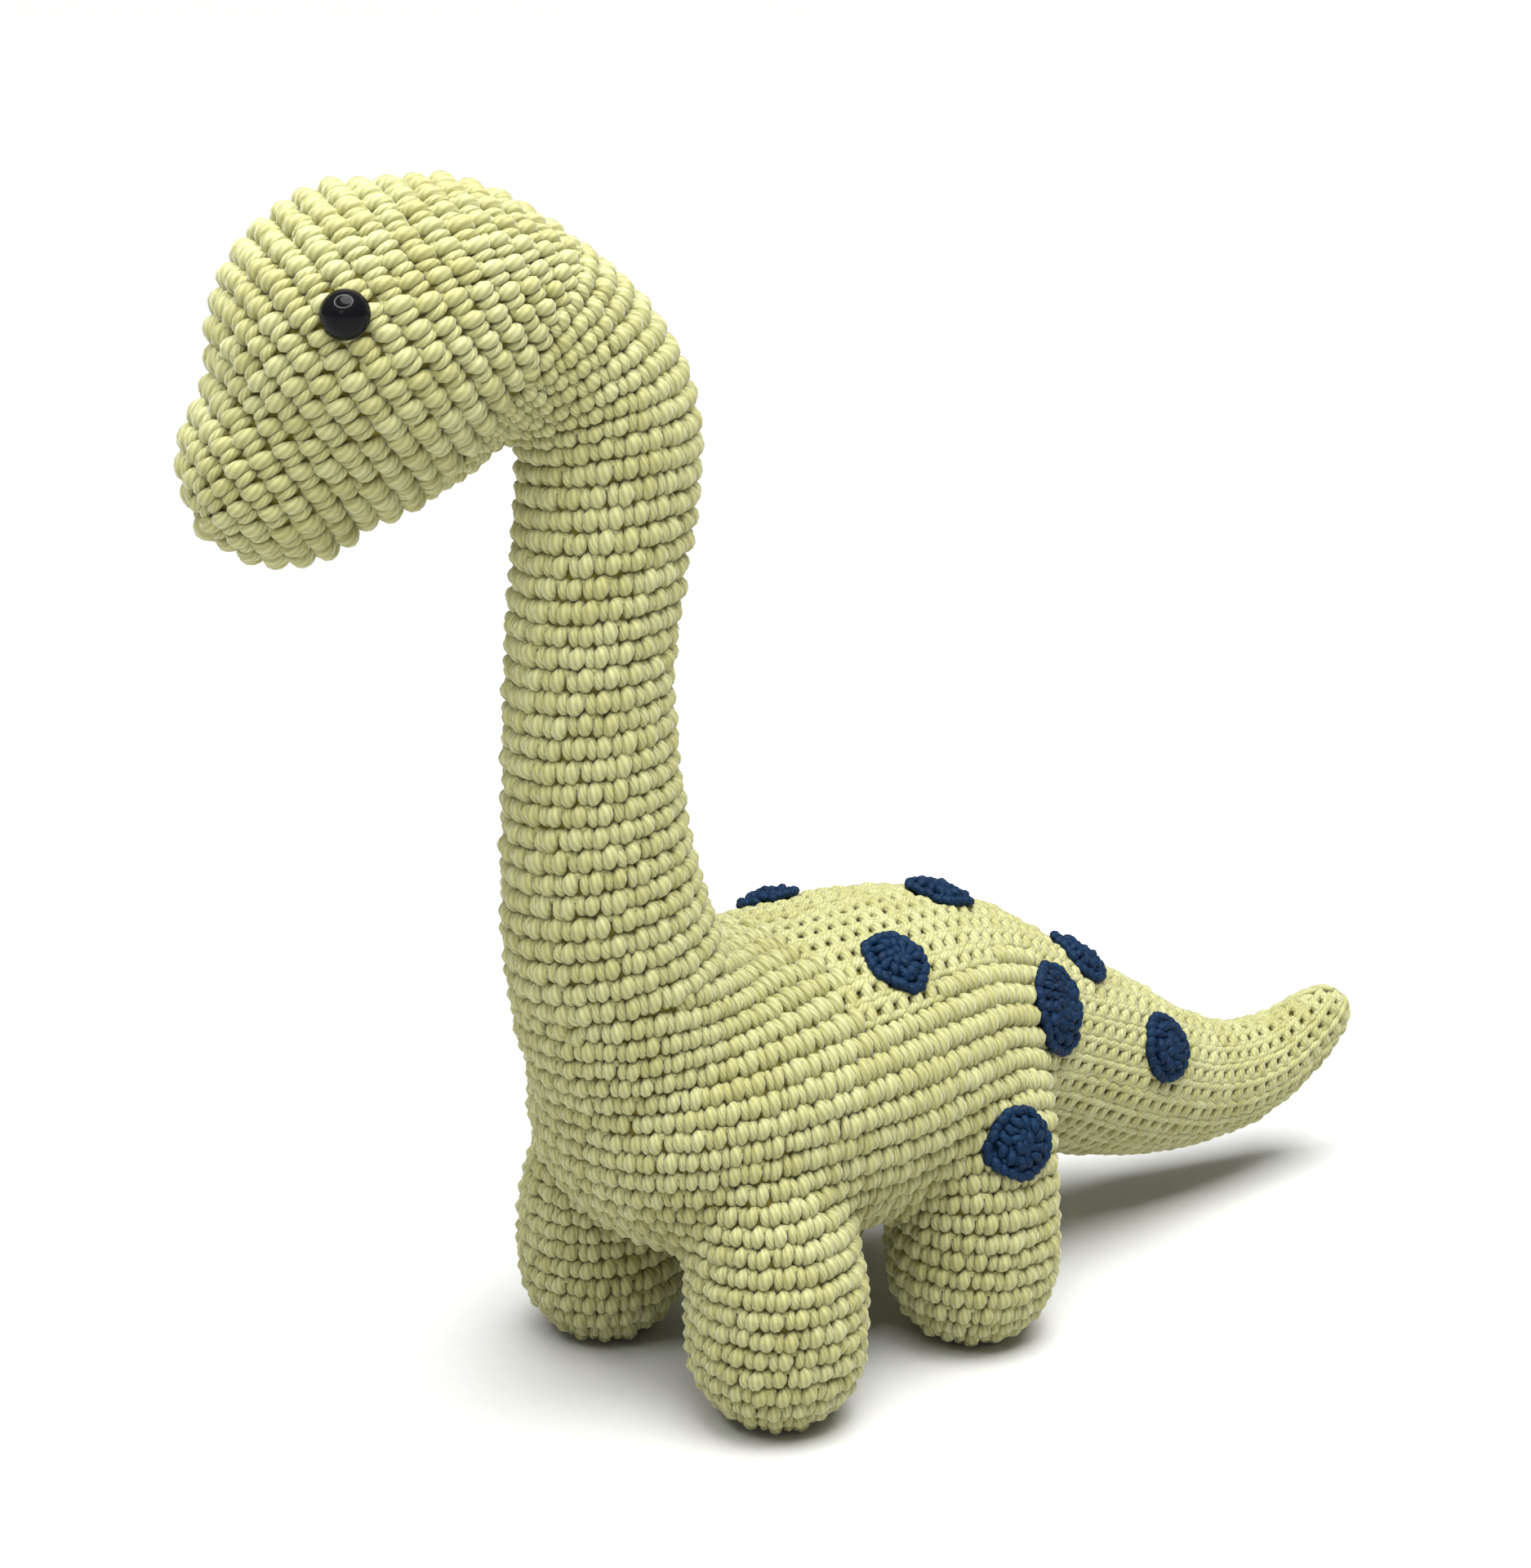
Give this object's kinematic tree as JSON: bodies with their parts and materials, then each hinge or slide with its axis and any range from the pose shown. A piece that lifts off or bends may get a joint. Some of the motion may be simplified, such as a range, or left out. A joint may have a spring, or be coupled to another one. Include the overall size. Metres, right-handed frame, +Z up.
{
  "type": "stuffed dinosaur",
  "caption": "Crocheted long-necked dinosaur soft toy, standing on stub legs, with bent-over head, curled-up tail, domed eyes and sewn-on navy spots.",
  "frame": {"origin": "on the floor under the middle of the overall length and width", "axes": "+X to the animal's left side, -Y towards the nose, +Z up"},
  "size_m": [0.0962, 0.2878, 0.2469],
  "materials": {
    "cloth": "matte",
    "stuffing": "matte",
    "navy_cloth": "matte",
    "eye_black": "gloss",
    "washer_white": "matte"
  },
  "bodies": {
    "trunk": {"trunk_skin": "cloth", "trunk_stuffing": "stuffing", "spot_back_front": "navy_cloth", "spot_back_middle": "navy_cloth", "spot_flank_upper_left": "navy_cloth", "spot_rump_left": "navy_cloth", "spot_hip_left": "navy_cloth", "spot_flank_upper_right": "navy_cloth", "spot_flank_lower_right": "navy_cloth", "spot_rump_right": "navy_cloth", "spot_tail_top": "navy_cloth"},
    "neck_lower": {"neck_lower_skin": "cloth", "neck_lower_stuffing": "stuffing"},
    "neck_upper": {"neck_upper_skin": "cloth", "neck_upper_stuffing": "stuffing"},
    "head": {"head_skin": "cloth", "head_stuffing": "stuffing", "eye_left": "eye_black", "eye_right": "eye_black", "eye_washer_left": "washer_white", "eye_washer_right": "washer_white"},
    "tail_root": {"tail_root_skin": "cloth", "tail_root_stuffing": "stuffing", "spot_tail_left": "navy_cloth", "spot_tail_right": "navy_cloth"},
    "tail_end": {"tail_end_skin": "cloth", "tail_end_stuffing": "stuffing"},
    "leg_front_left": {"leg_front_left_skin": "cloth", "leg_front_left_stuffing": "stuffing"},
    "leg_front_right": {"leg_front_right_skin": "cloth", "leg_front_right_stuffing": "stuffing"},
    "leg_hind_left": {"leg_hind_left_skin": "cloth", "leg_hind_left_stuffing": "stuffing"},
    "leg_hind_right": {"leg_hind_right_skin": "cloth", "leg_hind_right_stuffing": "stuffing"}
  },
  "joints": [
    {"name": "neck_bend", "type": "hinge", "parent": "trunk", "child": "neck_lower", "pos_m": [0.0019, -0.0718, 0.102], "axis": [1, 0, 0], "range_deg": [-8, 10], "stiffness_Nm_per_rad": 0.5},
    {"name": "neck_sway", "type": "hinge", "parent": "neck_lower", "child": "neck_upper", "pos_m": [0.0019, -0.0746, 0.16], "axis": [0, 1, 0], "range_deg": [-12, 12], "stiffness_Nm_per_rad": 0.3},
    {"name": "head_nod", "type": "hinge", "parent": "neck_upper", "child": "head", "pos_m": [0.0019, -0.0698, 0.194], "axis": [1, 0, 0], "range_deg": [-12, 14], "stiffness_Nm_per_rad": 0.3},
    {"name": "tail_sway", "type": "hinge", "parent": "trunk", "child": "tail_root", "pos_m": [0.0059, 0.0592, 0.042], "axis": [0, 0, 1], "range_deg": [-14, 14], "stiffness_Nm_per_rad": 0.25},
    {"name": "tail_curl", "type": "hinge", "parent": "tail_root", "child": "tail_end", "pos_m": [0.0122, 0.1032, 0.0268], "axis": [1, 0, 0], "range_deg": [-10, 15], "stiffness_Nm_per_rad": 0.12},
    {"name": "leg_front_left_swing", "type": "hinge", "parent": "trunk", "child": "leg_front_left", "pos_m": [0.0289, -0.0518, 0.028], "axis": [1, 0, 0], "range_deg": [-12, 12], "stiffness_Nm_per_rad": 0.3},
    {"name": "leg_front_right_swing", "type": "hinge", "parent": "trunk", "child": "leg_front_right", "pos_m": [-0.0251, -0.0518, 0.028], "axis": [1, 0, 0], "range_deg": [-12, 12], "stiffness_Nm_per_rad": 0.3},
    {"name": "leg_hind_left_swing", "type": "hinge", "parent": "trunk", "child": "leg_hind_left", "pos_m": [0.0289, 0.0042, 0.028], "axis": [1, 0, 0], "range_deg": [-12, 12], "stiffness_Nm_per_rad": 0.3},
    {"name": "leg_hind_right_swing", "type": "hinge", "parent": "trunk", "child": "leg_hind_right", "pos_m": [-0.0251, 0.0042, 0.028], "axis": [1, 0, 0], "range_deg": [-12, 12], "stiffness_Nm_per_rad": 0.3}
  ]
}
